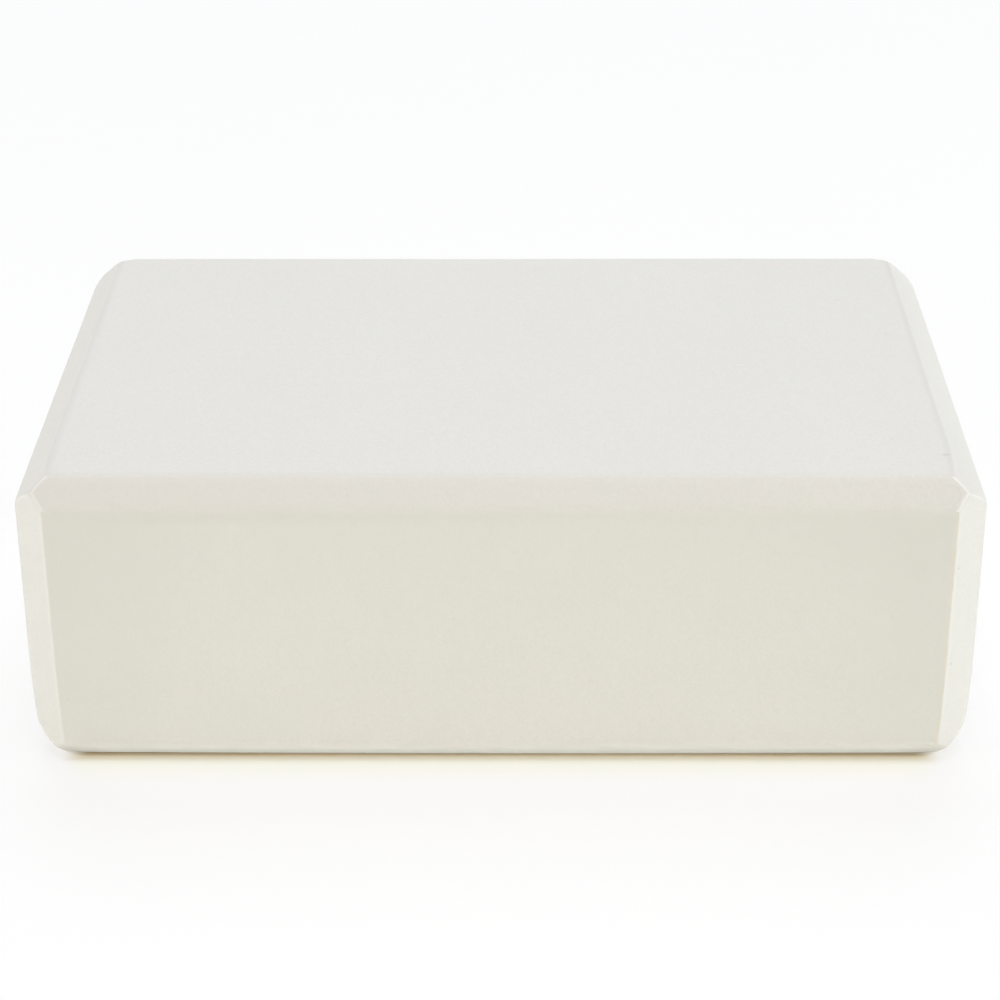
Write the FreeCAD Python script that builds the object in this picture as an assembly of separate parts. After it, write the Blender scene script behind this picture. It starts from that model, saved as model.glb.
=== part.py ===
import FreeCAD, Part
import os

# Foam yoga block: two foam slabs bonded face to face, cut to size together, with every edge bevelled.
# Millimetres. +X runs along the length, +Y to the back and +Z up.
# The origin is the middle of the base, on the surface that the block stands on.

# Plan size
BLOCK_LENGTH = 230.0
BLOCK_WIDTH = 150.0

# Layers, from the base up
LOWER_SLAB_THICKNESS = 36.6
BOND_FILM_THICKNESS = 0.25
UPPER_SLAB_THICKNESS = 39.15

# Legs of the 45 degree bevels: long edges, end edges (both at top and bottom), and upright edges
LONG_EDGE_BEVEL = 5.9
END_EDGE_BEVEL = 7.6
UPRIGHT_EDGE_BEVEL = 8.0

# Radius that softens both borders of each long bevel; the other borders are left as cut
LONG_BEVEL_SOFTENING = 3.5

# How far the tool that parts the layers reaches past the block on each side
PARTING_OVERREACH = 5.0

# Worked out: the layers' levels, and the block's three directions with its size along each
BOND_BASE = LOWER_SLAB_THICKNESS
BOND_TOP = BOND_BASE + BOND_FILM_THICKNESS
BLOCK_HEIGHT = BOND_TOP + UPPER_SLAB_THICKNESS
LENGTHWISE = (FreeCAD.Vector(1, 0, 0), BLOCK_LENGTH)
CROSSWISE = (FreeCAD.Vector(0, 1, 0), BLOCK_WIDTH)
UPRIGHT = (FreeCAD.Vector(0, 0, 1), BLOCK_HEIGHT)
BLOCK_CENTRE = FreeCAD.Vector(0, 0, BLOCK_HEIGHT / 2)

# Edges count as parallel below this sine of the angle between them
PARALLEL_SINE = 1e-6


def bevelled_bar(along, across, up, bevel):
    """Bar centred on the block; its section is a rectangle, across by up, with the corners cut off."""
    along_axis, length = along
    across_axis, width = across
    up_axis, depth = up
    side = width / 2
    top = depth / 2
    outline = [
        (side - bevel, -top), (side, bevel - top), (side, top - bevel), (side - bevel, top),
        (bevel - side, top), (-side, top - bevel), (-side, bevel - top), (bevel - side, -top),
    ]
    end_centre = BLOCK_CENTRE - along_axis * (length / 2)
    corners = [end_centre + across_axis * a + up_axis * u for a, u in outline]
    section = Part.Face(Part.makePolygon(corners + corners[:1]))
    return section.extrude(along_axis * length)


def soften_borders(bar, along, radius):
    """Round every edge of a bar that runs along its length."""
    along_axis, _ = along
    borders = []
    for edge in bar.Edges:
        if edge.tangentAt(edge.FirstParameter).cross(along_axis).Length < PARALLEL_SINE:
            borders.append(edge)
    return bar.makeFillet(radius, borders)


def bevelled_block():
    """The whole block: what three bevelled bars, one along each axis, have in common."""
    long_bar = bevelled_bar(LENGTHWISE, CROSSWISE, UPRIGHT, LONG_EDGE_BEVEL)
    long_bar = soften_borders(long_bar, LENGTHWISE, LONG_BEVEL_SOFTENING)
    cross_bar = bevelled_bar(CROSSWISE, UPRIGHT, LENGTHWISE, END_EDGE_BEVEL)
    upright_bar = bevelled_bar(UPRIGHT, LENGTHWISE, CROSSWISE, UPRIGHT_EDGE_BEVEL)
    return long_bar.common(cross_bar).common(upright_bar)


def layer(block, base, thickness):
    """The part of the block between two level cuts."""
    length = BLOCK_LENGTH + 2 * PARTING_OVERREACH
    width = BLOCK_WIDTH + 2 * PARTING_OVERREACH
    corner = FreeCAD.Vector(-length / 2, -width / 2, base)
    return block.common(Part.makeBox(length, width, thickness, corner)).Solids[0]


block = bevelled_block()
pieces = {
    "lower_foam_slab": layer(block, 0, LOWER_SLAB_THICKNESS),
    "bond_film": layer(block, BOND_BASE, BOND_FILM_THICKNESS),
    "upper_foam_slab": layer(block, BOND_TOP, UPPER_SLAB_THICKNESS),
}

os.makedirs("parts", exist_ok=True)
for node, solid in pieces.items():
    solid.exportStep(f"parts/{node}.step")
    print(f"{node}: {solid.Volume / 1000:.1f} cm3, valid {solid.isValid()}, closed {solid.isClosed()}")
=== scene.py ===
import math
from types import SimpleNamespace

import bmesh
import bpy
from mathutils import Matrix, Vector, noise


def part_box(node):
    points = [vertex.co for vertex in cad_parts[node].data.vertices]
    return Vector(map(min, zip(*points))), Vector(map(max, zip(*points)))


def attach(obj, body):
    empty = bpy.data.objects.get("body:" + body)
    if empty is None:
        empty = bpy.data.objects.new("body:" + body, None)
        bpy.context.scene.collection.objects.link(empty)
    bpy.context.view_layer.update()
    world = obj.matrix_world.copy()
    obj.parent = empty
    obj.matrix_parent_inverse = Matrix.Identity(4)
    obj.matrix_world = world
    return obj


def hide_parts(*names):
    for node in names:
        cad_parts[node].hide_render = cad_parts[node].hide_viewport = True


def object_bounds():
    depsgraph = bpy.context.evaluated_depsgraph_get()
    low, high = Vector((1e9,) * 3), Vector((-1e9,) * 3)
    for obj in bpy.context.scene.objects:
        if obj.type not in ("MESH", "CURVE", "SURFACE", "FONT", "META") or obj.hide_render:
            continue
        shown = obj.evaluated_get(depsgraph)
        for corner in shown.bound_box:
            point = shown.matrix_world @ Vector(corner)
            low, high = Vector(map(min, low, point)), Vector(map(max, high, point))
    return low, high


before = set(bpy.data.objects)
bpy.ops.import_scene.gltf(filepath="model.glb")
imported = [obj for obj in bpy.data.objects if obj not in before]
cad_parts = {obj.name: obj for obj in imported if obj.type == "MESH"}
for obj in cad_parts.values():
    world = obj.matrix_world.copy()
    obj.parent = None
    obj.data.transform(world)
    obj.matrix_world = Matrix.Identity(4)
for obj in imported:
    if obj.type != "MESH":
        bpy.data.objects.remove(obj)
CAD_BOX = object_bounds()

# Sizes are in metres, in the frame of the solids: +X along the block, +Y to the back, +Z up
MM = 0.001
DIAGONAL = math.sqrt(0.5)

# The block and its layers, from the frame
BLOCK_LOW, BLOCK_HIGH = CAD_BOX
BLOCK_SIZE = BLOCK_HIGH - BLOCK_LOW
HALF_SIZE = BLOCK_SIZE / 2
BLOCK_CENTRE = (BLOCK_LOW + BLOCK_HIGH) / 2
BOND_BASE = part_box("lower_foam_slab")[1].z
BOND_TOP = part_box("upper_foam_slab")[0].z

# Bevels: the pair of axes that each set of edges turns between, and the leg of its 45 degree cut
LONG_EDGE_BEVEL = 5.9 * MM
END_EDGE_BEVEL = 7.6 * MM
UPRIGHT_EDGE_BEVEL = 8.0 * MM
BEVEL_LEGS = {(1, 2): LONG_EDGE_BEVEL, (0, 2): END_EDGE_BEVEL, (0, 1): UPRIGHT_EDGE_BEVEL}

# Round borders between an outer face, given by its axis, and a bevel: radius at the top and at the base
ROUND_BORDERS = (
    (2, (1, 2), 3.0 * MM, 0.6 * MM),
    (1, (1, 2), 2.9 * MM, 4.5 * MM),
    (0, (0, 2), 2.6 * MM, 1.8 * MM),
    (0, (0, 1), 1.6 * MM, 1.6 * MM),
)

# Where three bevels meet: inward distances from the outer faces
MEETING_POINT = Vector((
    (END_EDGE_BEVEL + UPRIGHT_EDGE_BEVEL - LONG_EDGE_BEVEL) / 2,
    (LONG_EDGE_BEVEL + UPRIGHT_EDGE_BEVEL - END_EDGE_BEVEL) / 2,
    (LONG_EDGE_BEVEL + END_EDGE_BEVEL - UPRIGHT_EDGE_BEVEL) / 2,
))

# Mesh rows beside the borders: steps inward along X, and outward along Y and Z, from the meeting point.
# Cuts that are so matched fall on the same lines of the bevels.
ROW_STEPS = [
    step * MM for step in (
        5.0, 4.2, 3.55, 3.15, 2.75, 2.35, 1.55, 0.75, 0, -0.75, -1.55, -2.35, -2.75, -3.15,
        -3.65, -4.05, -4.45, -4.85, -5.25, -5.85, -6.65,
    )
]
ROW_DIRECTION = (1, -1, -1)

# The even grid between them: its steps, and the margin that it leaves at the outer faces
FACE_STEP = 3.0 * MM
HEIGHT_STEP = 1.0 * MM
FACE_MARGIN = 12.0 * MM

# Points closer than this are one point; the cuts between the layers are finer
ONE_POINT = 0.01 * MM
LAYER_CUT = 0.0001 * MM

# Ridges between two bevels turn by 60 degrees and show sharp; borders of the faces turn by 45 and look soft
RIDGE_ANGLE = math.radians(52)

# Points of a corner, as inward distances: on the top or base, on the long side, and on the end
FLAT_POINT = Vector((END_EDGE_BEVEL, LONG_EDGE_BEVEL, 0))
SIDE_POINT = Vector((UPRIGHT_EDGE_BEVEL, 0, LONG_EDGE_BEVEL))
END_POINT = Vector((0, UPRIGHT_EDGE_BEVEL, END_EDGE_BEVEL))

# Rounding of the corners: its points, how far it reaches from them, and smoothing passes
TOP_ROUNDING = ((FLAT_POINT, END_POINT), 1.6 * MM, 4)
NOSE_ROUNDING = ((MEETING_POINT,), 1.2 * MM, 2)
BACK_TOP_ROUNDING = ((FLAT_POINT, MEETING_POINT), 3.4 * MM, 24)
BASE_ROUNDING = ((FLAT_POINT, MEETING_POINT, SIDE_POINT, END_POINT), 3.6 * MM, 6)
SMOOTHING_STRENGTH = 0.5

# The ends draw in just above their base bevels: by how much, and from what height down
END_WAIST = (0.6 * MM, 32 * MM)

# Outward lean of the upright bevels' borders on the long sides: at the base and at the top
LEFT_LEAN = (0.06 * MM, 0.44 * MM)
RIGHT_LEAN = (-0.08 * MM, 0.21 * MM)

# Sag of the top bevels' lower borders on the long sides: in the middle and at the ends
BORDER_SAG = (0.15 * MM, 0.75 * MM)

# Inward bend of the end bevels' borders beside the front top corners: at the left and at the right
CORNER_BEND = (0.6 * MM, 1.1 * MM)
BEND_REACH = 16 * MM

# The foam spreads where it stands, on the long sides: in the middle and at the ends, and up to what height
BASE_SPREAD = (0.9 * MM, 0.2 * MM)
SPREAD_HEIGHT = 3.5 * MM

# Unevenness of the skin, as strength and grain size; the base stays flat up to a small height
FACE_WAVE = (0.25 * MM, 60 * MM)
SKIN_RIPPLE = (0.04 * MM, 5 * MM)
BASE_SKIN = 0.2 * MM

# Ragged corner edges: strength and grain size, the left end's share, and the margin left at the long bevels
RAGGED_EDGE = (0.24 * MM, 1.7 * MM)
LEFT_RAGGED = 0.3
RAGGED_MARGIN = 1.0 * MM

# The glue stands a little proud of the sides: least and most, and grain size of the unevenness
GLUE_BEAD = (0.0, 0.03 * MM)
BEAD_GRAIN = 4 * MM

# Sizes of the cells, and of the patches of tint, of the painted warm glow and of shade
CELL_SIZE = 0.48 * MM
GLUE_CELL_SIZE = 0.25 * MM
TINT_PATCH = 7 * MM
PAINTED_GLOW_PATCH = 1.6 * MM
SHADE_PATCH = 45 * MM

# Detail of the cloud patterns
BROAD_DETAIL = 1.0
PATCH_DETAIL = 2.0
LUMP_DETAIL = 3.0
RAGGED_DETAIL = 4.0

# Cell grain: fineness of the lumps against the cells, depth of a cell, and shares of both in the tone
LUMP_FINENESS = 0.37
CELL_DEPTH = -0.5
CELL_TONE = 0.75
LUMP_TONE = 0.25

# How far tint, shade, tone and roughness vary
FOAM_TINT = (0.3, 0.7)
FOAM_SHADE = (0.988, 1.012)
FOAM_TONE = (0.96, 1.04)
FOAM_ROUGHNESS = (0.72, 0.88)
GLUE_TONE = (0.98, 1.02)
GLUE_ROUGHNESS = (0.5, 0.65)

# Wear, painted light and painted shade beside the borders, by the depth behind a face or bevel: where it
# begins and where it is full
ON_FACE = (0.1 * MM, 0.02 * MM)
RIDGE_LIP = (0.8 * MM, 0.25 * MM)
EDGE_LIP = (1.2 * MM, 0.2 * MM)
WARM_LINE = (1.1 * MM, 0.2 * MM)
CREASE_INNER = (1.5 * MM, 0.3 * MM)
CREASE_OUTER = (-0.05 * MM, 0.15 * MM)
BASE_PAINTED_LIGHT = (1.5 * MM, 0.0)
SIDE_PAINTED_SHADE = (2.5 * MM, 1.2 * MM)
BORDER_PAINTED_SHADE = (3.6 * MM, 1.0 * MM)
BEVEL_PAINTED_SHADE = (1.5 * MM, 0.3 * MM)

# The same by how much deeper a point lies behind the long side than behind the long bevel
PAST_BORDER = (1.2 * MM, -1.2 * MM)

# The same by the height above the base, and by the distance from the middle along the block
UPPER_HEIGHTS = (30 * MM, 50 * MM)
PAINTED_LIGHT_HEIGHTS = (7.0 * MM, 2.0 * MM)
FOOT_HEIGHTS = (26 * MM, 8 * MM)
PAINTED_SHADE_HEIGHTS = (5 * MM, 76 * MM)
PAINTED_SHADE_LENGTHS = (62 * MM, 108 * MM)

# Strengths of the worn marks, of the painted light and of the painted shade; a pair goes from the left end
# of the block to the right end
RIDGE_LIP_STRENGTH = (0.6, 1.0)
END_LIP_STRENGTH = 0.5
EDGE_LIP_STRENGTH = 0.22
PAINTED_GLOW_STRENGTH = (0.25, 1.0)
CREASE_STRENGTH = 0.65
UPRIGHT_PAINTED_LIGHT_STRENGTH = (0.14, 0.22)
FOOT_PAINTED_LIGHT_STRENGTH = 0.13
LENGTH_PAINTED_SHADE_STRENGTH = 0.4
HEIGHT_PAINTED_SHADE_STRENGTH = 0.62
BORDER_PAINTED_SHADE_STRENGTH = (0.42, 0.0)
END_PAINTED_SHADE_STRENGTH = (0.06, 0.25)
BEVEL_PAINTED_SHADE_STRENGTH = (0.56, 0.25)

# The painted warm glow is patchy: where the clouds break it, and its least share there
PAINTED_GLOW_BREAKS = (0.35, 0.65)
PAINTED_GLOW_LEAST = 0.25

# Colours of the foam, of its worn marks, of the painted light and shade, and of the glue
FOAM_ROSY = (0.7936, 0.7778, 0.7255, 1)
FOAM_GREENISH = (0.7892, 0.7804, 0.7255, 1)
# Whitened foam on the lips and the nick; also painted light on the lit bevels, the foot of the long sides
# and the ring's raised line
WHITENED_AND_PAINTED_LIGHT = (0.90, 0.895, 0.87, 1)
# Painted warm glow of light shining through the foam at the corner edges
PAINTED_WARM_GLOW = (0.78, 0.738, 0.635, 1)
# Painted shade in the crease beside the end bevels
PAINTED_CREASE_SHADE = (0.735, 0.716, 0.665, 1)
# Painted shade on the long sides, on the bevels and in the ring's groove
PAINTED_SHADE_GREY = (0.735, 0.715, 0.665, 1)
SMUDGE_GREY = (0.75, 0.75, 0.72, 1)
SPECK_BROWN = (0.52, 0.5, 0.44, 1)
GLUE_WARM = (0.795, 0.779, 0.726, 1)
GLUE_COOL = (0.793, 0.782, 0.729, 1)

# Single marks: centre and half sizes
TEAR = (Vector((105.9, -57.9, 76.0)) * MM, Vector((1.3, 0.3, 1.0)) * MM)
NICK = (Vector((105.1, -74.8, 5.6)) * MM, Vector((0.35, 1.0, 0.9)) * MM)
SMUDGE = (Vector((-63.0, -75.0, 13.0)) * MM, Vector((19.0, 3.0, 9.0)) * MM)

# Soft edge of a mark, in shares of its half sizes: where it begins and where the mark is full
MARK_EDGE = (1.0, 0.4)

# Sparse dark specks: spacing, radius, and the share of the radius that is fully dark
SPECK_SPACING = 16 * MM
SPECK_RADIUS = 0.28 * MM
SPECK_CORE = 0.5

# Brown specks that show: place, radius and strength
SPOTS = (
    (Vector((94.9, -75.0, 63.0)) * MM, 0.4 * MM, 0.35),
    (Vector((99.6, -75.0, 67.4)) * MM, 0.4 * MM, 0.3),
    (Vector((3.1, -75.0, 58.7)) * MM, 0.4 * MM, 0.5),
    (Vector((-11.2, -75.0, 40.9)) * MM, 0.4 * MM, 0.5),
    (Vector((-104.7, -75.0, 18.5)) * MM, 0.4 * MM, 0.5),
    (Vector((108.2, -73.8, 53.9)) * MM, 0.5 * MM, 1.0),
    (Vector((108.4, -73.6, 27.8)) * MM, 0.5 * MM, 0.8),
    (Vector((94.2, -49.3, 76.0)) * MM, 0.4 * MM, 0.6),
    (Vector((100.6, 15.1, 76.0)) * MM, 0.5 * MM, 0.5),
    (Vector((109.6, -29.6, 73.8)) * MM, 0.5 * MM, 0.6),
)

# Ring pressed into the right end of the front top bevel: centre, radius, width, and where it fades along X
RING_CENTRE = Vector((105.2, -72.5, 72.6)) * MM
RING_RADIUS = 2.95 * MM
RING_WIDTH = 0.32 * MM
RING_FADE = (99 * MM, 107 * MM)

# Strengths of the marks in the colour; the ring's raised line is a painted highlight and its groove painted
# shade
SMUDGE_STRENGTH = 0.25
SPECK_STRENGTH = 0.5
TEAR_STRENGTH = 0.5
GROOVE_SHADE_STRENGTH = 0.4
RING_HIGHLIGHT_STRENGTH = 0.2

# Heights of the fine relief, in millimetres
CELL_RELIEF = 0.065
LIP_RELIEF = 0.05
RING_RELIEF = 0.03
TEAR_RELIEF = -0.15
GLUE_RELIEF = 0.02

# Sockets of the colour Mix node
MIX_FACTOR, MIX_BELOW, MIX_ABOVE, MIX_COLOUR = 0, 6, 7, 2

# Light: the dome all round, and the white that shows behind the block
DOME = (0.076, 0.094, 0.105, 1)
WHITE = (1, 1, 1, 1)
BACKGROUND_WHITE = 0.965

# Softboxes: place, aim, size, power and colour
AIM = (0, 0, 0.04)
SOFTBOXES = {
    "left_softbox": ((-2.4, -0.4, 0.8), AIM, 1.6, 23.5, (1, 0.971, 0.932)),
    "right_softbox": ((2.4, -0.2, 1.0), AIM, 1.6, 30.5, (0.987, 1, 0.998)),
    "top_softbox": ((0, -0.3, 1.3), AIM, 0.5, 4.82, (1, 0.843, 0.852)),
    "low_softbox": ((0, -1.1, 0.12), AIM, 0.2, 3.07, (1, 0.986, 0.823)),
    "back_softbox": ((0, 2.4, 3.82), AIM, 3.0, 107.5, (0.87, 0.944, 1)),
}

# Floor: size, roughness, and colours in the open, of painted warm light, of a painted contact shadow under
# the block's edge, and of a painted warm halo of light
FLOOR_SIZE = 8
FLOOR_ROUGHNESS = 0.6
FLOOR_PALE = (0.97, 0.965, 0.955, 1)
FLOOR_PAINTED_WARM_LIGHT = (0.97, 0.82, 0.57, 1)
FLOOR_PAINTED_CONTACT_SHADOW = (0.66, 0.5, 0.33, 1)
FLOOR_PAINTED_HALO = (0.957, 0.957, 0.83, 1)

# How far they reach from the block's base, whose corners are round; shadow and halo clear beside the ends
BASE_CORNER = 4 * MM
SHADOW_REACH = 5.6 * MM
WARM_REACH = 7 * MM
CONTACT_REACH = 1.6 * MM
HALO_REACH = (16 * MM, 2 * MM)
SHADOW_ENDS = (101 * MM, 109 * MM)

# The floor glows white outside the shadow: its share near the block, and where it rises to the full white
FLOOR_GLOW = 0.75
FAR_FLOOR = (0.6, 1.8)

# Camera: place, turns in degrees, and lens and sensor in millimetres
CAMERA_PLACE = (0.00521, -0.63204, 0.35255)
CAMERA_YAW = 0.531
CAMERA_ELEVATION = 26.686
CAMERA_ROLL = -0.230
CAMERA_LENS = 96.39
CAMERA_SENSOR = 36


def deselect_objects():
    bpy.ops.object.select_all(action="DESELECT")


def inward(point):
    """How far a point lies inside the nearer outer face along each axis."""
    return Vector(HALF_SIZE[i] - abs(point[i] - BLOCK_CENTRE[i]) for i in range(3))


def select_verts(wanted):
    """In edit mode, select only the wanted points of the mesh."""
    mesh = bmesh.from_edit_mesh(bpy.context.object.data)
    bpy.ops.mesh.select_all(action="DESELECT")
    for vert in mesh.verts:
        vert.select_set(wanted(vert.co))
    mesh.select_flush(True)
    bmesh.update_edit_mesh(bpy.context.object.data)


def axis_direction(axis):
    direction = Vector((0, 0, 0))
    direction[axis] = 1
    return direction


def cut_bevels():
    """Cut the twelve edges back with flat planes."""
    for (first, second), leg in BEVEL_LEGS.items():
        for first_side in (-1, 1):
            for second_side in (-1, 1):
                normal = first_side * axis_direction(first) + second_side * axis_direction(second)
                point = BLOCK_CENTRE + normal * HALF_SIZE
                point[first] -= first_side * leg
                bpy.ops.mesh.select_all(action="SELECT")
                bpy.ops.mesh.bisect(
                    plane_co=point, plane_no=normal, use_fill=True, clear_outer=True, threshold=ONE_POINT
                )


def row_cuts():
    """Divide the faces: close rows beside the borders, and an even grid between them."""
    for axis, step in enumerate((FACE_STEP, FACE_STEP, HEIGHT_STEP)):
        half = HALF_SIZE[axis]
        depths = [MEETING_POINT[axis] + ROW_DIRECTION[axis] * row for row in ROW_STEPS]
        places = [half - depth for depth in depths if depth > ONE_POINT]
        places += [-place for place in places]
        reach = half - FACE_MARGIN
        count = round(2 * reach / step)
        places += [reach * (2 * cut / count - 1) for cut in range(count + 1)]
        for place in places:
            bpy.ops.mesh.select_all(action="SELECT")
            bpy.ops.mesh.bisect(
                plane_co=BLOCK_CENTRE + axis_direction(axis) * place, plane_no=axis_direction(axis),
                threshold=ONE_POINT,
            )
    bpy.ops.mesh.select_all(action="SELECT")
    bpy.ops.mesh.remove_doubles(threshold=ONE_POINT)


def keep_cut_places(mesh):
    """Keep where each point lies on the sharp cuts, for the worn edges and the painted light and shade that
    follow them.
    """
    places = mesh.attributes.new("cut_place", "FLOAT_VECTOR", "POINT")
    for vert in mesh.vertices:
        places.data[vert.index].vector = vert.co


def round_borders(mesh):
    """Move the rows beside each round border onto the round."""
    for face_axis, (first, second), top_radius, base_radius in ROUND_BORDERS:
        face = axis_direction(face_axis)
        bevel = (axis_direction(first) + axis_direction(second)).normalized()
        face_reach = HALF_SIZE[face_axis]
        bevel_reach = (HALF_SIZE[first] + HALF_SIZE[second] - BEVEL_LEGS[first, second]) * DIAGONAL
        slant = face.dot(bevel)
        for vert in mesh.vertices:
            offset = vert.co - BLOCK_CENTRE
            place = Vector(abs(value) for value in offset)
            radius = top_radius if offset.z > 0 else base_radius
            over_face = face.dot(place) - face_reach + radius
            over_bevel = bevel.dot(place) - bevel_reach + radius
            along_face = (over_face - slant * over_bevel) / (1 - slant ** 2)
            along_bevel = (over_bevel - slant * over_face) / (1 - slant ** 2)
            if along_face > 0 and along_bevel > 0:
                out = face * along_face + bevel * along_bevel
                if out.length > radius:
                    place += out * (radius / out.length - 1)
                    vert.co = BLOCK_CENTRE + Vector(
                        math.copysign(value, side) for value, side in zip(place, offset)
                    )


def ragged_edges(mesh):
    """Tear the edges between the long sides and the upright bevels a little along X."""
    strength, grain = RAGGED_EDGE
    for vert in mesh.vertices:
        depth = inward(vert.co)
        on_edge = abs(depth.x - UPRIGHT_EDGE_BEVEL) + depth.y < ONE_POINT
        if on_edge and depth.z > LONG_EDGE_BEVEL + RAGGED_MARGIN:
            end_share = 1 if vert.co.x > BLOCK_CENTRE.x else LEFT_RAGGED
            vert.co.x += end_share * strength * noise.noise(vert.co / grain)


def round_corners(wanted, rounding):
    """Smooth the wanted corners about their points."""
    corner_points, reach, passes = rounding
    select_verts(
        lambda place: wanted(place - BLOCK_CENTRE)
        and any((inward(place) - corner).length < reach for corner in corner_points)
    )
    bpy.ops.mesh.vertices_smooth(factor=SMOOTHING_STRENGTH, repeat=passes)


def share(value, none, full):
    """Rise from 0 to 1 as a value goes from one bound to the other."""
    return min(1, max(0, (value - none) / (full - none)))


def between(pair, part):
    """Go from the first value of a pair to the second as a part goes from 0 to 1."""
    return pair[0] + (pair[1] - pair[0]) * part


def toward_ends(offset):
    """Rise from 0 in the middle of the block's length to 1 at its ends."""
    return (offset.x / HALF_SIZE.x) ** 2


def border_lean(depth, offset):
    """How far a point leans outward along X."""
    lean = RIGHT_LEAN if offset.x > 0 else LEFT_LEAN
    near_side = share(depth.y, UPRIGHT_EDGE_BEVEL, 0)
    near_edge = share(depth.x, UPRIGHT_EDGE_BEVEL + FACE_MARGIN, UPRIGHT_EDGE_BEVEL)
    return between(lean, (offset.z + HALF_SIZE.z) / BLOCK_SIZE.z) * near_side * near_edge


def corner_bend(depth, offset):
    """How far a point beside a front top corner bends inward along X."""
    if offset.z <= 0 or offset.y >= 0:
        return 0
    left_bend, right_bend = CORNER_BEND
    bend = right_bend if offset.x > 0 else left_bend
    near_top = share(depth.z, END_EDGE_BEVEL, 0) ** 2
    near_edge = share(depth.x, END_EDGE_BEVEL + FACE_MARGIN, END_EDGE_BEVEL)
    near_corner = share(depth.y, LONG_EDGE_BEVEL + BEND_REACH, LONG_EDGE_BEVEL) ** 2
    return bend * near_top * near_edge * near_corner


def foot_spread(depth, offset):
    """How far a point of the lower half spreads outward along Y."""
    if offset.z >= 0:
        return 0
    near_base = share(depth.z, SPREAD_HEIGHT, 0) ** 2
    near_edge = share(depth.y, LONG_EDGE_BEVEL + FACE_MARGIN, LONG_EDGE_BEVEL)
    return between(BASE_SPREAD, toward_ends(offset)) * near_base * near_edge


def border_sag(depth, offset):
    """How far a point of the upper half sags."""
    if offset.z <= 0:
        return 0
    near_side = share(depth.y, LONG_EDGE_BEVEL, 0)
    near_edge = share(depth.z, LONG_EDGE_BEVEL + FACE_MARGIN, LONG_EDGE_BEVEL)
    return between(BORDER_SAG, toward_ends(offset)) * near_side * near_edge


def wander(mesh):
    """Let the cuts wander: the borders lean, bend, spread and sag a little."""
    for vert in mesh.vertices:
        depth = inward(vert.co)
        offset = vert.co - BLOCK_CENTRE
        outward = border_lean(depth, offset) - corner_bend(depth, offset)
        vert.co.x += math.copysign(1, offset.x) * outward
        vert.co.y += math.copysign(1, offset.y) * foot_spread(depth, offset)
        vert.co.z -= border_sag(depth, offset)


def draw_in_ends(mesh):
    """Draw the ends in a little, most of all just above their base bevels."""
    strength, start = END_WAIST
    for vert in mesh.vertices:
        height = vert.co.z - BLOCK_LOW.z
        if height > END_EDGE_BEVEL:
            depth = share(height, start, END_EDGE_BEVEL) ** 2
        else:
            depth = height / END_EDGE_BEVEL
        reach = abs(vert.co.x - BLOCK_CENTRE.x) / HALF_SIZE.x
        vert.co.x -= math.copysign(strength * depth * reach ** 4, vert.co.x)


def apply_modifier(piece, kind, **settings):
    modifier = piece.modifiers.new(kind.lower(), kind)
    for name, value in settings.items():
        setattr(modifier, name, value)
    bpy.ops.object.modifier_apply(modifier=modifier.name)


def roughen(piece):
    """Give the free skin its waves and ripples; the base stays flat."""
    group = piece.vertex_groups.new(name="free_skin")
    free = [v.index for v in piece.data.vertices if v.co.z > BLOCK_LOW.z + BASE_SKIN]
    group.add(free, 1.0, "REPLACE")
    for name, (strength, grain) in {"face_wave": FACE_WAVE, "skin_ripple": SKIN_RIPPLE}.items():
        texture = bpy.data.textures.new(name, "CLOUDS")
        texture.noise_scale = grain
        texture.noise_depth = 1
        apply_modifier(
            piece, "DISPLACE", texture=texture, texture_coords="LOCAL", strength=strength,
            vertex_group=group.name,
        )
    piece.vertex_groups.clear()


def trimmed_block():
    """The whole block before it is parted into its layers."""
    deselect_objects()
    bpy.ops.mesh.primitive_cube_add(size=1, location=BLOCK_CENTRE, scale=BLOCK_SIZE)
    block = bpy.context.object
    bpy.ops.object.transform_apply(location=True, rotation=True, scale=True)
    bpy.ops.object.mode_set(mode="EDIT")
    bpy.ops.mesh.select_mode(type="VERT")
    cut_bevels()
    row_cuts()
    bpy.ops.object.mode_set(mode="OBJECT")
    keep_cut_places(block.data)
    round_borders(block.data)
    ragged_edges(block.data)
    bpy.ops.object.mode_set(mode="EDIT")
    round_corners(lambda offset: offset.z > 0, TOP_ROUNDING)
    round_corners(lambda offset: offset.z > 0, NOSE_ROUNDING)
    round_corners(lambda offset: offset.z > 0 and offset.y > 0, BACK_TOP_ROUNDING)
    round_corners(lambda offset: offset.z < 0, BASE_ROUNDING)
    bpy.ops.mesh.select_all(action="SELECT")
    bpy.ops.mesh.normals_make_consistent(inside=False)
    bpy.ops.object.mode_set(mode="OBJECT")
    wander(block.data)
    draw_in_ends(block.data)
    roughen(block)
    return block


def part_layer(block, name, low, high):
    """A copy of the block, kept between two level cuts."""
    deselect_objects()
    layer = block.copy()
    layer.data = block.data.copy()
    layer.name = name
    layer.data.name = name
    bpy.context.collection.objects.link(layer)
    bpy.context.view_layer.objects.active = layer
    layer.select_set(True)
    bpy.ops.object.mode_set(mode="EDIT")
    for level, keep_below in ((low, False), (high, True)):
        if BLOCK_LOW.z < level < BLOCK_HIGH.z:
            bpy.ops.mesh.select_all(action="SELECT")
            bpy.ops.mesh.bisect(
                plane_co=(0, 0, level), plane_no=(0, 0, 1), use_fill=True,
                clear_outer=keep_below, clear_inner=not keep_below, threshold=LAYER_CUT,
            )
    bpy.ops.object.mode_set(mode="OBJECT")
    bpy.ops.object.shade_smooth_by_angle(angle=RIDGE_ANGLE)
    return layer


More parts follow.
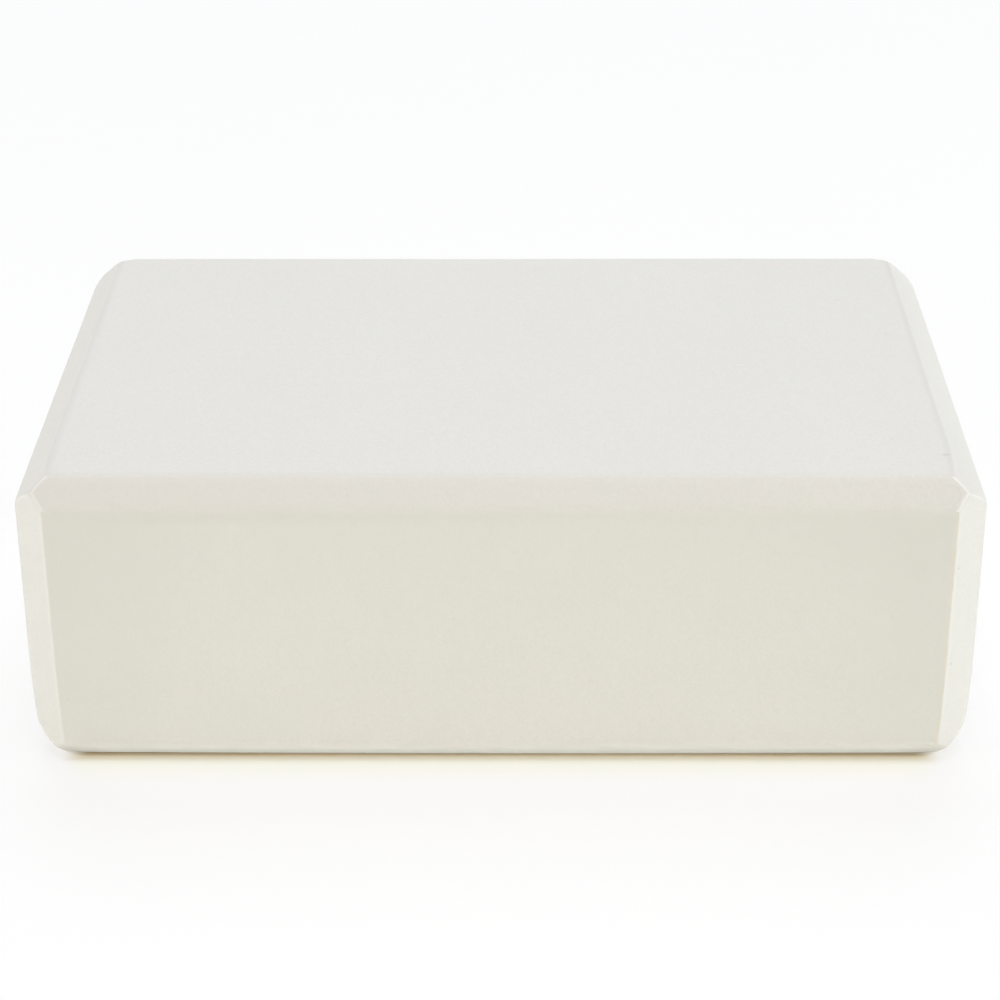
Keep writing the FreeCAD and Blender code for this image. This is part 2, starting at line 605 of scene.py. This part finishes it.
def raise_bead(piece):
    """Let the glue stand proud of the sides by an uneven amount."""
    for vert in piece.data.vertices:
        out = Vector((vert.normal.x, vert.normal.y, 0))
        uneven = (noise.noise(vert.co / BEAD_GRAIN) + 1) / 2
        vert.co += out.normalized() * between(GLUE_BEAD, uneven)


def add_node(tree, kind, inputs=None, **settings):
    """Add a shader node; each input is a plain value or another node's output."""
    node = tree.nodes.new("ShaderNode" + kind)
    for name, value in settings.items():
        setattr(node, name, value)
    for socket, value in (inputs or {}).items():
        if isinstance(value, bpy.types.NodeSocket):
            tree.links.new(value, node.inputs[socket])
        else:
            node.inputs[socket].default_value = value
    return node


def figure(tree, operation, *values):
    """One step of arithmetic."""
    return add_node(tree, "Math", dict(enumerate(values)), operation=operation).outputs[0]


def figure_all(tree, operation, values):
    """One operation over several values."""
    total, *others = values
    for value in others:
        total = figure(tree, operation, total, value)
    return total


def product(tree, *values):
    return figure_all(tree, "MULTIPLY", values)


def largest(tree, *values):
    return figure_all(tree, "MAXIMUM", values)


def opposite(tree, mask):
    return figure(tree, "SUBTRACT", 1.0, mask)


def vector_figure(tree, operation, *values):
    """One step of vector arithmetic: the result as a vector, and as a number where it is one."""
    return add_node(tree, "VectorMath", dict(enumerate(values)), operation=operation).outputs


def axes_of(tree, vector):
    """X, Y and Z of a vector."""
    return add_node(tree, "SeparateXYZ", {0: vector}).outputs


def fade(tree, value, none, full):
    """Rise smoothly from 0 to 1 as a value goes from one bound to the other."""
    bounds = {"Value": value, "From Min": none, "From Max": full, "To Min": 0.0, "To Max": 1.0}
    return add_node(tree, "MapRange", bounds, interpolation_type="SMOOTHSTEP").outputs[0]


def spread(tree, value, low, high):
    """Spread a value of 0 to 1 over a range."""
    return add_node(tree, "MapRange", {"Value": value, "To Min": low, "To Max": high}).outputs[0]


def blend(tree, factor, below, above, how="MIX"):
    """Mix two colours."""
    inputs = {MIX_FACTOR: factor, MIX_BELOW: below, MIX_ABOVE: above}
    return add_node(tree, "Mix", inputs, data_type="RGBA", blend_type=how).outputs[MIX_COLOUR]


def lay_over(tree, colour, coats):
    """Lay coats over a colour, each through its own mask."""
    for mask, coat in coats:
        colour = blend(tree, mask, colour, coat)
    return colour


def clouds(tree, place, fineness, detail):
    inputs = {"Vector": place, "Scale": fineness, "Detail": detail}
    return add_node(tree, "TexNoise", inputs).outputs[0]


def new_group(name, inputs, outputs):
    """A new shader group, with what it is given and the sockets of its results."""
    tree = bpy.data.node_groups.new(name, "ShaderNodeTree")
    for way, sockets in (("INPUT", inputs), ("OUTPUT", outputs)):
        for socket, kind in sockets.items():
            tree.interface.new_socket(socket, in_out=way, socket_type="NodeSocket" + kind)
    return tree, tree.nodes.new("NodeGroupInput").outputs, tree.nodes.new("NodeGroupOutput").inputs


def place_group(tree, group, inputs):
    return add_node(tree, "Group", inputs, node_tree=group).outputs


def cell_grain_group():
    """Closed cells: their relief, and the tone that differs from cell to cell."""
    tree, given, result = new_group(
        "cell_grain", {"Place": "Vector", "Fineness": "Float"}, {"Relief": "Float", "Tone": "Float"}
    )
    cells = add_node(tree, "TexVoronoi", {"Vector": given["Place"], "Scale": given["Fineness"]}).outputs
    lump_fineness = product(tree, given["Fineness"], LUMP_FINENESS)
    lumps = clouds(tree, given["Place"], lump_fineness, LUMP_DETAIL)
    relief = figure(tree, "MULTIPLY_ADD", cells["Distance"], CELL_DEPTH, lumps)
    tone = figure(tree, "MULTIPLY_ADD", cells["Color"], CELL_TONE, product(tree, lumps, LUMP_TONE))
    tree.links.new(relief, result["Relief"])
    tree.links.new(tone, result["Tone"])
    return tree


def border_places(tree, place):
    """Where a point lies: its depth behind each face and bevel, its height, and its place lengthwise."""
    centred = vector_figure(tree, "SUBTRACT", place, BLOCK_CENTRE)[0]
    outward = axes_of(tree, vector_figure(tree, "ABSOLUTE", centred)[0])
    bevel_depths = []
    for (first, second), leg in BEVEL_LEGS.items():
        reach = figure(tree, "ADD", outward[first], outward[second])
        depth = figure(tree, "SUBTRACT", HALF_SIZE[first] + HALF_SIZE[second] - leg, reach)
        bevel_depths.append(product(tree, depth, DIAGONAL))
    long_depth, end_depth, upright_depth = bevel_depths
    along, _, height = axes_of(tree, place)
    strength, grain = RAGGED_EDGE
    return SimpleNamespace(
        place=place,
        side_depth=figure(tree, "SUBTRACT", HALF_SIZE.y, outward[1]),
        flat_depth=figure(tree, "SUBTRACT", HALF_SIZE.z, outward[2]),
        long_depth=long_depth,
        end_depth=end_depth,
        upright_depth=upright_depth,
        from_middle=outward[0],
        rightward=fade(tree, along, -HALF_SIZE.x, HALF_SIZE.x),
        height=height,
        upper=fade(tree, height, *UPPER_HEIGHTS),
        ragged=spread(tree, clouds(tree, place, 1 / grain, RAGGED_DETAIL), -strength, strength),
    )


def on_face(tree, depth):
    """Mask of a face or bevel, by the depth behind it."""
    return fade(tree, depth, *ON_FACE)


def lip_mask(tree, at):
    """Whitened ridges between the upper bevels, and a fainter line along the corner edges."""
    beside_end = fade(tree, at.end_depth, *RIDGE_LIP)
    beside_upright = fade(tree, at.upright_depth, *RIDGE_LIP)
    on_upright = on_face(tree, at.upright_depth)
    long_lip = product(tree, on_face(tree, at.long_depth), largest(tree, beside_end, beside_upright))
    end_lip = product(tree, on_upright, beside_end, END_LIP_STRENGTH)
    ridge_lip = product(
        tree, largest(tree, long_lip, end_lip), at.upper, spread(tree, at.rightward, *RIDGE_LIP_STRENGTH)
    )
    near_edge = fade(tree, figure(tree, "ADD", at.side_depth, at.ragged), *EDGE_LIP)
    edge_lip = product(tree, on_upright, near_edge, EDGE_LIP_STRENGTH)
    return largest(tree, ridge_lip, edge_lip)


def painted_warm_glow_mask(tree, at):
    """Patchy painted warm glow of light shining through the foam, on the long sides along the corner edges.
    """
    near_edge = fade(tree, figure(tree, "ADD", at.upright_depth, at.ragged), *WARM_LINE)
    breaks = fade(tree, clouds(tree, at.place, 1 / PAINTED_GLOW_PATCH, PATCH_DETAIL), *PAINTED_GLOW_BREAKS)
    return product(
        tree, on_face(tree, at.side_depth), near_edge, spread(tree, breaks, PAINTED_GLOW_LEAST, 1.0),
        spread(tree, at.rightward, *PAINTED_GLOW_STRENGTH),
    )


def painted_crease_shade_mask(tree, at):
    """Painted shade of a crease on the top and on the base, beside the end bevels."""
    return product(
        tree, on_face(tree, at.flat_depth), fade(tree, at.end_depth, *CREASE_INNER),
        fade(tree, at.end_depth, *CREASE_OUTER), CREASE_STRENGTH,
    )


def painted_light_mask(tree, at):
    """Painted light: the base's long bevels, the upright bevels and the foot of the long sides made paler,
    standing in for light from the floor and the side lamps.
    """
    corner = HALF_SIZE.x - UPRIGHT_EDGE_BEVEL
    base_painted_light = product(
        tree, fade(tree, at.long_depth, *BASE_PAINTED_LIGHT), fade(tree, at.height, *PAINTED_LIGHT_HEIGHTS),
        fade(tree, at.from_middle, corner, corner - FACE_MARGIN),
    )
    upright_painted_light = product(
        tree, on_face(tree, at.upright_depth), spread(tree, at.rightward, *UPRIGHT_PAINTED_LIGHT_STRENGTH)
    )
    foot_painted_light = product(
        tree, on_face(tree, at.side_depth), fade(tree, at.height, *FOOT_HEIGHTS), FOOT_PAINTED_LIGHT_STRENGTH
    )
    return largest(tree, base_painted_light, upright_painted_light, foot_painted_light)


def painted_shade_mask(tree, at):
    """Painted shade on the long sides, most of all toward their ends, tops and upper borders, and on the
    bevels.
    """
    past_border = fade(tree, figure(tree, "SUBTRACT", at.side_depth, at.long_depth), *PAST_BORDER)
    side_shade_share = figure_all(tree, "ADD", [
        product(tree, fade(tree, at.from_middle, *PAINTED_SHADE_LENGTHS), LENGTH_PAINTED_SHADE_STRENGTH),
        product(tree, fade(tree, at.height, *PAINTED_SHADE_HEIGHTS), HEIGHT_PAINTED_SHADE_STRENGTH),
        product(
            tree, fade(tree, at.long_depth, *BORDER_PAINTED_SHADE), at.upper,
            spread(tree, at.rightward, *BORDER_PAINTED_SHADE_STRENGTH),
        ),
    ])
    side_painted_shade = product(
        tree, side_shade_share, past_border, fade(tree, at.side_depth, *SIDE_PAINTED_SHADE),
        opposite(tree, on_face(tree, at.upright_depth)),
    )
    end_painted_shade = product(
        tree, on_face(tree, at.end_depth), spread(tree, at.rightward, *END_PAINTED_SHADE_STRENGTH)
    )
    bevel_painted_shade = product(
        tree, fade(tree, at.long_depth, *BEVEL_PAINTED_SHADE), at.upper,
        spread(tree, at.rightward, *BEVEL_PAINTED_SHADE_STRENGTH),
    )
    return largest(tree, side_painted_shade, end_painted_shade, bevel_painted_shade)


def border_wear_and_painted_light_group():
    """Masks of the worn edges, and of the painted light and shade, beside the borders."""
    wear_and_painted_light = {
        "Lip": lip_mask,
        "PaintedWarmGlow": painted_warm_glow_mask,
        "PaintedCreaseShade": painted_crease_shade_mask,
        "PaintedLight": painted_light_mask,
        "PaintedShade": painted_shade_mask,
    }
    tree, given, result = new_group("border_wear_and_painted_light", {"Place": "Vector"}, dict.fromkeys(wear_and_painted_light, "Float"))
    at = border_places(tree, given["Place"])
    for name, mask in wear_and_painted_light.items():
        tree.links.new(mask(tree, at), result[name])
    return tree


def mark(tree, place, centre, half_sizes):
    """Mask of a single soft spot."""
    offset = vector_figure(tree, "SUBTRACT", place, centre)[0]
    scaled = vector_figure(tree, "DIVIDE", offset, half_sizes)[0]
    return fade(tree, vector_figure(tree, "LENGTH", scaled)[1], *MARK_EDGE)


def specks(tree, place):
    """Mask of the dark specks: sparse ones all over, and those that show."""
    scatter = add_node(tree, "TexVoronoi", {"Vector": place, "Scale": 1 / SPECK_SPACING}).outputs
    reach = SPECK_RADIUS / SPECK_SPACING
    masks = [fade(tree, scatter["Distance"], reach, reach * SPECK_CORE)]
    for centre, radius, strength in SPOTS:
        spot = mark(tree, place, centre, Vector((radius, radius, radius)))
        masks.append(product(tree, spot, strength))
    return largest(tree, *masks)


def bevel_ring(tree, place):
    """Masks of the ring's raised line and of the groove inside it; both fade leftward."""
    along, across, up = axes_of(tree, vector_figure(tree, "SUBTRACT", place, RING_CENTRE)[0])
    past_centre = figure(tree, "MAXIMUM", along, 0.0)
    from_spine = add_node(tree, "CombineXYZ", {0: past_centre, 1: across, 2: up}).outputs[0]
    reach = vector_figure(tree, "LENGTH", from_spine)[1]
    start = fade(tree, axes_of(tree, place)[0], *RING_FADE)
    masks = []
    for radius in (RING_RADIUS, RING_RADIUS - RING_WIDTH * 2):
        gap = figure(tree, "ABSOLUTE", figure(tree, "SUBTRACT", reach, radius))
        masks.append(product(tree, fade(tree, gap, RING_WIDTH, 0.0), start))
    return masks


def new_finish(name):
    """A new material, with its nodes, its shader and the place on the piece."""
    material = bpy.data.materials.new(name)
    material.use_nodes = True
    tree = material.node_tree
    place = add_node(tree, "TexCoord").outputs["Object"]
    return material, tree, tree.nodes["Principled BSDF"], place


def cut_place(tree):
    return add_node(tree, "Attribute", attribute_name="cut_place").outputs["Vector"]


def worn_and_painted_light_colour(tree, colour, wear_and_painted_light):
    """Lay the worn edges, and the painted light and shade, beside the borders over a colour."""
    return lay_over(tree, colour, (
        # Painted shade
        (wear_and_painted_light["PaintedShade"], PAINTED_SHADE_GREY),
        # Painted light
        (wear_and_painted_light["PaintedLight"], WHITENED_AND_PAINTED_LIGHT),
        # Painted warm glow of light shining through the foam
        (wear_and_painted_light["PaintedWarmGlow"], PAINTED_WARM_GLOW),
        (wear_and_painted_light["Lip"], WHITENED_AND_PAINTED_LIGHT),
    ))


def set_relief(tree, shader, relief):
    """Turn a relief, in millimetres, into the shader's normals."""
    bump = add_node(tree, "Bump", {"Height": relief, "Distance": MM, "Strength": 1.0})
    tree.links.new(bump.outputs["Normal"], shader.inputs["Normal"])


def foam_finish(cell_grain, border_wear_and_painted_light):
    material, tree, shader, place = new_finish("warm_white_foam")
    grain = place_group(tree, cell_grain, {"Place": place, "Fineness": 1 / CELL_SIZE})
    wear_and_painted_light = place_group(tree, border_wear_and_painted_light, {"Place": cut_place(tree)})
    ring, groove = bevel_ring(tree, place)
    tear = mark(tree, place, *TEAR)
    # The ring's raised line is a painted highlight; the nick is whitened foam
    nick_and_ring_highlight = largest(tree, product(tree, ring, RING_HIGHLIGHT_STRENGTH), mark(tree, place, *NICK))

    tint = fade(tree, clouds(tree, place, 1 / TINT_PATCH, PATCH_DETAIL), *FOAM_TINT)
    shade = spread(tree, clouds(tree, place, 1 / SHADE_PATCH, BROAD_DETAIL), *FOAM_SHADE)
    tone = product(tree, spread(tree, grain["Tone"], *FOAM_TONE), shade)
    colour = blend(tree, 1.0, blend(tree, tint, FOAM_ROSY, FOAM_GREENISH), tone, "MULTIPLY")
    colour = lay_over(tree, colour, (
        (product(tree, mark(tree, place, *SMUDGE), SMUDGE_STRENGTH), SMUDGE_GREY),
        # Painted shade in the crease beside the end bevels
        (wear_and_painted_light["PaintedCreaseShade"], PAINTED_CREASE_SHADE),
        (product(tree, specks(tree, place), SPECK_STRENGTH), SPECK_BROWN),
        (product(tree, tear, TEAR_STRENGTH), SPECK_BROWN),
        # Painted shade in the ring's groove
        (product(tree, groove, GROOVE_SHADE_STRENGTH), PAINTED_SHADE_GREY),
        (nick_and_ring_highlight, WHITENED_AND_PAINTED_LIGHT),
    ))
    tree.links.new(worn_and_painted_light_colour(tree, colour, wear_and_painted_light), shader.inputs["Base Color"])
    tree.links.new(spread(tree, grain["Tone"], *FOAM_ROUGHNESS), shader.inputs["Roughness"])
    set_relief(tree, shader, figure_all(tree, "ADD", [
        product(tree, grain["Relief"], CELL_RELIEF),
        product(tree, wear_and_painted_light["Lip"], LIP_RELIEF),
        product(tree, ring, RING_RELIEF),
        product(tree, groove, -RING_RELIEF),
        product(tree, tear, TEAR_RELIEF),
    ]))
    return material


def glue_finish(cell_grain, border_wear_and_painted_light):
    material, tree, shader, place = new_finish("colour_matched_glue")
    grain = place_group(tree, cell_grain, {"Place": place, "Fineness": 1 / GLUE_CELL_SIZE})
    wear_and_painted_light = place_group(tree, border_wear_and_painted_light, {"Place": cut_place(tree)})
    tint = clouds(tree, place, 1 / TINT_PATCH, PATCH_DETAIL)
    tone = spread(tree, grain["Tone"], *GLUE_TONE)
    colour = blend(tree, 1.0, blend(tree, tint, GLUE_WARM, GLUE_COOL), tone, "MULTIPLY")
    tree.links.new(worn_and_painted_light_colour(tree, colour, wear_and_painted_light), shader.inputs["Base Color"])
    tree.links.new(spread(tree, grain["Tone"], *GLUE_ROUGHNESS), shader.inputs["Roughness"])
    set_relief(tree, shader, product(tree, grain["Relief"], GLUE_RELIEF))
    return material


def background_ray(tree):
    """1 for rays that show the background, 0 for rays that carry light."""
    path = add_node(tree, "LightPath").outputs
    return largest(tree, path["Is Camera Ray"], path["Is Glossy Ray"], path["Is Transmission Ray"])


def base_distance(tree, place):
    """How far a point of the floor lies from the base of the block."""
    corner_centre = (
        HALF_SIZE.x - END_EDGE_BEVEL - BASE_CORNER,
        HALF_SIZE.y - LONG_EDGE_BEVEL + BASE_SPREAD[0] - BASE_CORNER,
        0,
    )
    mirrored = vector_figure(tree, "ABSOLUTE", place)[0]
    past = vector_figure(tree, "SUBTRACT", mirrored, corner_centre)[0]
    outside = vector_figure(tree, "MAXIMUM", past, (0, 0, 0))[0]
    return figure(tree, "SUBTRACT", vector_figure(tree, "LENGTH", outside)[1], BASE_CORNER)


def pale_floor():
    deselect_objects()
    bpy.ops.mesh.primitive_plane_add(size=FLOOR_SIZE)
    floor = bpy.context.object
    floor.name = "pale_floor"
    material, tree, shader, place = new_finish("pale_floor")
    distance = base_distance(tree, place)
    shown = background_ray(tree)
    from_middle = figure(tree, "ABSOLUTE", axes_of(tree, place)[0])
    beside_end = fade(tree, from_middle, *SHADOW_ENDS)

    # Seen only by the camera: painted warm light near the block and a painted contact shadow under its edge
    colour = lay_over(tree, FLOOR_PALE, (
        (product(tree, fade(tree, distance, WARM_REACH, 0.0), shown), FLOOR_PAINTED_WARM_LIGHT),
        (product(tree, fade(tree, distance, CONTACT_REACH, 0.0), shown), FLOOR_PAINTED_CONTACT_SHADOW),
    ))
    tree.links.new(colour, shader.inputs["Base Color"])
    shader.inputs["Roughness"].default_value = FLOOR_ROUGHNESS

    # A painted warm halo of light in the floor's glow near the block
    painted_halo = product(tree, fade(tree, distance, *HALO_REACH), opposite(tree, beside_end))
    glow_colour = blend(tree, painted_halo, WHITE, FLOOR_PAINTED_HALO)
    glow = add_node(tree, "Emission", {"Color": glow_colour, "Strength": 1.0})
    clear = largest(tree, fade(tree, distance, 0.0, SHADOW_REACH), beside_end)
    far = spread(tree, fade(tree, distance, *FAR_FLOOR), FLOOR_GLOW, 1.0)
    glow_share = product(tree, shown, clear, far)
    mix = add_node(tree, "MixShader", {0: glow_share, 1: shader.outputs[0], 2: glow.outputs[0]})
    tree.links.new(mix.outputs[0], tree.nodes["Material Output"].inputs["Surface"])
    floor.data.materials.append(material)


def softbox(name, place, aim, size, power, colour):
    light = bpy.data.lights.new(name, "AREA")
    light.shape = "SQUARE"
    light.size = size
    light.energy = power
    light.color = colour
    lamp = bpy.data.objects.new(name, light)
    bpy.context.collection.objects.link(lamp)
    lamp.location = place
    lamp.rotation_euler = (Vector(aim) - Vector(place)).to_track_quat("-Z", "Y").to_euler()


def studio_light():
    world = bpy.data.worlds.new("studio")
    world.use_nodes = True
    tree = world.node_tree
    dome = tree.nodes["Background"]
    dome.inputs["Color"].default_value = DOME
    backdrop = add_node(tree, "Background", {"Color": WHITE, "Strength": BACKGROUND_WHITE})
    shown = background_ray(tree)
    mix = add_node(tree, "MixShader", {0: shown, 1: dome.outputs[0], 2: backdrop.outputs[0]})
    tree.links.new(mix.outputs[0], tree.nodes["World Output"].inputs["Surface"])
    bpy.context.scene.world = world
    for name, settings in SOFTBOXES.items():
        softbox(name, *settings)


def camera():
    data = bpy.data.cameras.new("camera")
    data.sensor_width = CAMERA_SENSOR
    data.lens = CAMERA_LENS
    cam = bpy.data.objects.new("camera", data)
    bpy.context.collection.objects.link(cam)
    turn = (
        Matrix.Rotation(math.radians(CAMERA_YAW), 4, "Z")
        @ Matrix.Rotation(math.radians(90 - CAMERA_ELEVATION), 4, "X")
        @ Matrix.Rotation(math.radians(CAMERA_ROLL), 4, "Z")
    )
    cam.matrix_world = Matrix.Translation(CAMERA_PLACE) @ turn
    bpy.context.scene.camera = cam


block = trimmed_block()
cell_grain = cell_grain_group()
border_wear_and_painted_light = border_wear_and_painted_light_group()
foam = foam_finish(cell_grain, border_wear_and_painted_light)
glue = glue_finish(cell_grain, border_wear_and_painted_light)
layers = {
    "lower_foam": ("lower_foam_slab", BLOCK_LOW.z, BOND_BASE, foam, "foam"),
    "glue_line": ("bond_film", BOND_BASE, BOND_TOP, glue, "bond"),
    "upper_foam": ("upper_foam_slab", BOND_TOP, BLOCK_HIGH.z, foam, "foam"),
}
for name, (node, low, high, finish, slot) in layers.items():
    layer = part_layer(block, name, low, high)
    layer.data.materials.append(finish)
    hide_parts(node)
    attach(layer, "root")
    if slot == "foam":
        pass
    else:
        raise_bead(layer)
bpy.data.objects.remove(block)

pale_floor()
studio_light()
camera()
bpy.context.scene.view_settings.view_transform = "Standard"
